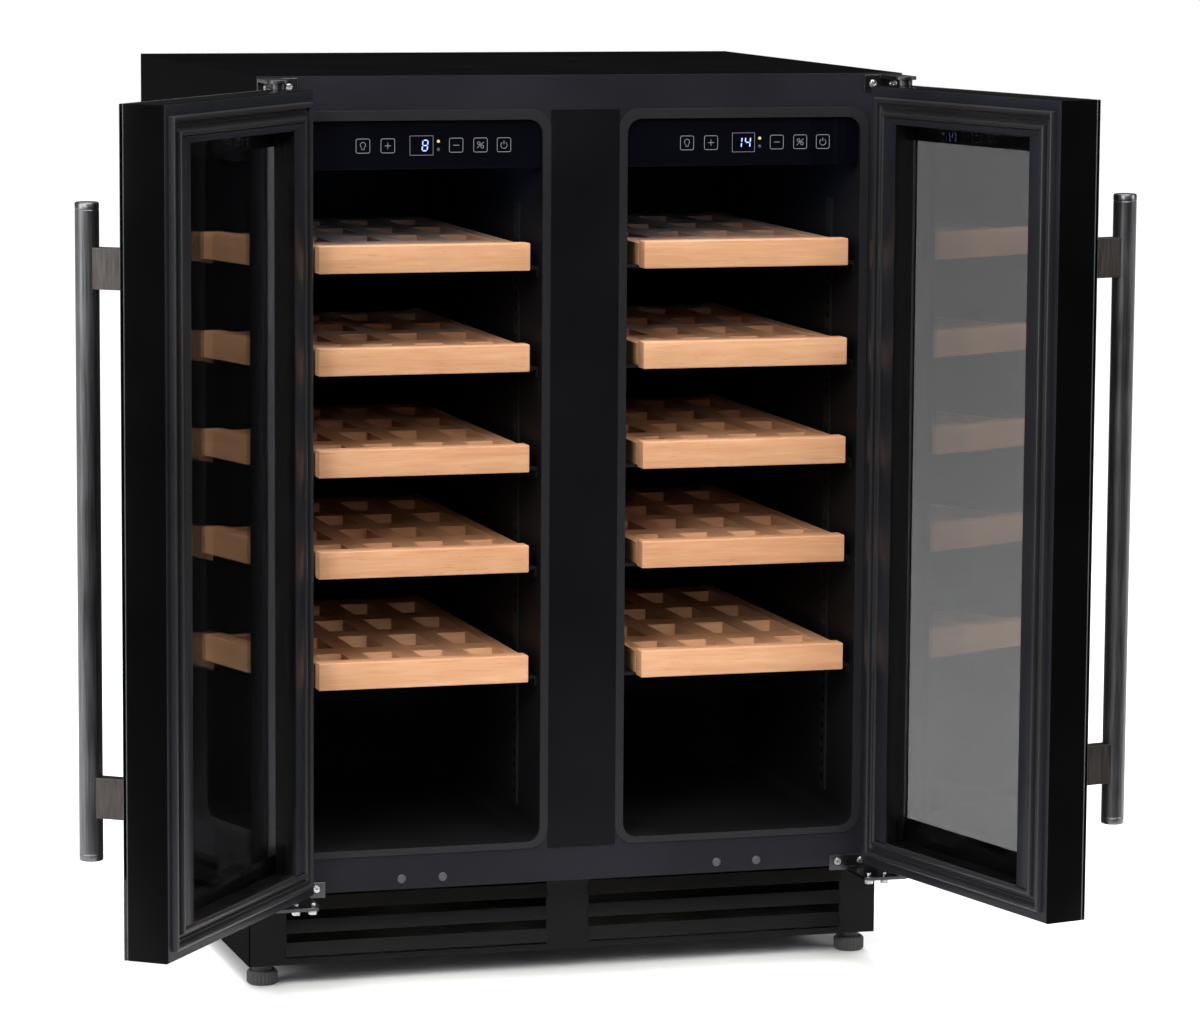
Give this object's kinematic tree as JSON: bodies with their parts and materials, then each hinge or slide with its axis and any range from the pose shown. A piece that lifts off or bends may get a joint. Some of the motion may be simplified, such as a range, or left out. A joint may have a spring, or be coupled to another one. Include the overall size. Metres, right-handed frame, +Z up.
{
  "type": "wine cooler",
  "caption": "Built-in two-zone wine cooler with two glass doors on side hinges, bar handles, sliding beech bottle shelves, touch controls, louvred kick plate and screw feet.",
  "frame": {"origin": "middle of the rear panel's lower edge on its outer face, level with the base pan's underside and 20 mm above the floor", "axes": "+X to the right of a person facing the doors, +Y back towards the wall, +Z up"},
  "size_m": [0.9048, 0.8449, 0.82],
  "materials": {
    "black_paint": "satin black powder coat",
    "charcoal_paint": "satin charcoal paint",
    "galvanised": "galvanised steel",
    "mullion_trim": "satin dark plastic",
    "foam": "rigid foam",
    "liner_plastic": "fine-grained dark plastic",
    "kick_plastic": "satin dark plastic",
    "control_gloss": "gloss black",
    "lens": "frosted clear",
    "runner_steel": "black coated steel",
    "duct_plastic": "dark plastic",
    "fin_aluminium": "bare aluminium",
    "fan_plastic": "moulded plastic",
    "compressor_paint": "black enamel",
    "condenser_paint": "black coated fins",
    "bracket_steel": "zinc plated",
    "tray_plastic": "plain plastic",
    "box_plastic": "plain plastic",
    "hinge_steel": "dark plated steel",
    "screw_steel": "bright plated steel",
    "plug_plastic": "dark plastic",
    "foot_plastic": "black plastic",
    "door_frame_plastic": "satin black extrusion",
    "black_glass": "tinted glass with a black printed border",
    "inner_glass": "clear glass with a black border",
    "gasket_rubber": "soft magnetic gasket",
    "handle_steel": "gunmetal brushed steel",
    "post_steel": "gunmetal steel",
    "beech": "oiled beech"
  },
  "bodies": {
    "cabinet": {"side_panel_left": "black_paint", "side_panel_right": "black_paint", "top_panel": "black_paint", "rear_panel": "galvanised", "base_pan": "galvanised", "front_frame": "charcoal_paint", "mullion_cover": "mullion_trim", "insulation": "foam", "liner_left": "liner_plastic", "liner_right": "liner_plastic", "kick_grille": "kick_plastic", "control_panel_left": "control_gloss", "control_panel_right": "control_gloss", "light_lenses": "lens", "runners_left": "runner_steel", "runners_right": "runner_steel", "duct_cover_left": "duct_plastic", "duct_cover_right": "duct_plastic", "evaporator_left": "fin_aluminium", "evaporator_right": "fin_aluminium", "compressor": "compressor_paint", "condenser": "condenser_paint", "fan_bracket": "bracket_steel", "drip_tray": "tray_plastic", "power_box": "box_plastic", "top_hinge_left": "hinge_steel", "top_hinge_right": "hinge_steel", "bottom_hinge_left": "hinge_steel", "bottom_hinge_right": "hinge_steel", "hinge_screws": "screw_steel", "rail_plugs": "plug_plastic"},
    "door_left": {"left_door_frame": "door_frame_plastic", "left_outer_glass": "black_glass", "left_inner_glazing": "inner_glass", "left_gasket": "gasket_rubber", "left_handle_bar": "handle_steel", "left_handle_posts": "post_steel"},
    "door_right": {"right_door_frame": "door_frame_plastic", "right_outer_glass": "black_glass", "right_inner_glazing": "inner_glass", "right_gasket": "gasket_rubber", "right_handle_bar": "handle_steel", "right_handle_posts": "post_steel"},
    "shelf_left_1": {"shelf_left_1": "beech"},
    "shelf_left_2": {"shelf_left_2": "beech"},
    "shelf_left_3": {"shelf_left_3": "beech"},
    "shelf_left_4": {"shelf_left_4": "beech"},
    "shelf_left_5": {"shelf_left_5": "beech"},
    "shelf_right_1": {"shelf_right_1": "beech"},
    "shelf_right_2": {"shelf_right_2": "beech"},
    "shelf_right_3": {"shelf_right_3": "beech"},
    "shelf_right_4": {"shelf_right_4": "beech"},
    "shelf_right_5": {"shelf_right_5": "beech"},
    "foot_front_left": {"foot_front_left": "foot_plastic"},
    "foot_front_right": {"foot_front_right": "foot_plastic"},
    "foot_rear_left": {"foot_rear_left": "foot_plastic"},
    "foot_rear_right": {"foot_rear_right": "foot_plastic"},
    "cooling_fan_left": {"cooling_fan_left": "fan_plastic"},
    "cooling_fan_right": {"cooling_fan_right": "fan_plastic"},
    "condenser_fan": {"condenser_fan": "fan_plastic"}
  },
  "joints": [
    {"name": "door_left_hinge", "type": "hinge", "parent": "cabinet", "child": "door_left", "pos_m": [-0.287, -0.5601, 0.436], "axis": [0, 0, -1], "range_deg": [-127, 8]},
    {"name": "door_right_hinge", "type": "hinge", "parent": "cabinet", "child": "door_right", "pos_m": [0.287, -0.5601, 0.436], "axis": [0, 0, 1], "range_deg": [-103.2, 31.8]},
    {"name": "shelf_left_1_slide", "type": "slide", "parent": "cabinet", "child": "shelf_left_1", "axis": [0, -1, 0], "range_m": [0, 0.2]},
    {"name": "shelf_left_2_slide", "type": "slide", "parent": "cabinet", "child": "shelf_left_2", "axis": [0, -1, 0], "range_m": [0, 0.2]},
    {"name": "shelf_left_3_slide", "type": "slide", "parent": "cabinet", "child": "shelf_left_3", "axis": [0, -1, 0], "range_m": [0, 0.2]},
    {"name": "shelf_left_4_slide", "type": "slide", "parent": "cabinet", "child": "shelf_left_4", "axis": [0, -1, 0], "range_m": [0, 0.2]},
    {"name": "shelf_left_5_slide", "type": "slide", "parent": "cabinet", "child": "shelf_left_5", "axis": [0, -1, 0], "range_m": [0, 0.2]},
    {"name": "shelf_right_1_slide", "type": "slide", "parent": "cabinet", "child": "shelf_right_1", "axis": [0, -1, 0], "range_m": [0, 0.2]},
    {"name": "shelf_right_2_slide", "type": "slide", "parent": "cabinet", "child": "shelf_right_2", "axis": [0, -1, 0], "range_m": [0, 0.2]},
    {"name": "shelf_right_3_slide", "type": "slide", "parent": "cabinet", "child": "shelf_right_3", "axis": [0, -1, 0], "range_m": [0, 0.2]},
    {"name": "shelf_right_4_slide", "type": "slide", "parent": "cabinet", "child": "shelf_right_4", "axis": [0, -1, 0], "range_m": [0, 0.2]},
    {"name": "shelf_right_5_slide", "type": "slide", "parent": "cabinet", "child": "shelf_right_5", "axis": [0, -1, 0], "range_m": [0, 0.2]},
    {"name": "foot_front_left_screw", "type": "slide", "parent": "cabinet", "child": "foot_front_left", "axis": [0, 0, 1], "range_m": [-0.04, 0]},
    {"name": "foot_front_right_screw", "type": "slide", "parent": "cabinet", "child": "foot_front_right", "axis": [0, 0, 1], "range_m": [-0.04, 0]},
    {"name": "foot_rear_left_screw", "type": "slide", "parent": "cabinet", "child": "foot_rear_left", "axis": [0, 0, 1], "range_m": [-0.04, 0]},
    {"name": "foot_rear_right_screw", "type": "slide", "parent": "cabinet", "child": "foot_rear_right", "axis": [0, 0, 1], "range_m": [-0.04, 0]},
    {"name": "cooling_fan_left_spin", "type": "hinge", "parent": "cabinet", "child": "cooling_fan_left", "pos_m": [-0.1489, -0.0862, 0.6], "axis": [0, -1, 0], "continuous": true},
    {"name": "cooling_fan_right_spin", "type": "hinge", "parent": "cabinet", "child": "cooling_fan_right", "pos_m": [0.1489, -0.0862, 0.6], "axis": [0, -1, 0], "continuous": true},
    {"name": "condenser_fan_spin", "type": "hinge", "parent": "cabinet", "child": "condenser_fan", "pos_m": [-0.0845, -0.09, 0.077], "axis": [1, 0, 0], "continuous": true}
  ]
}
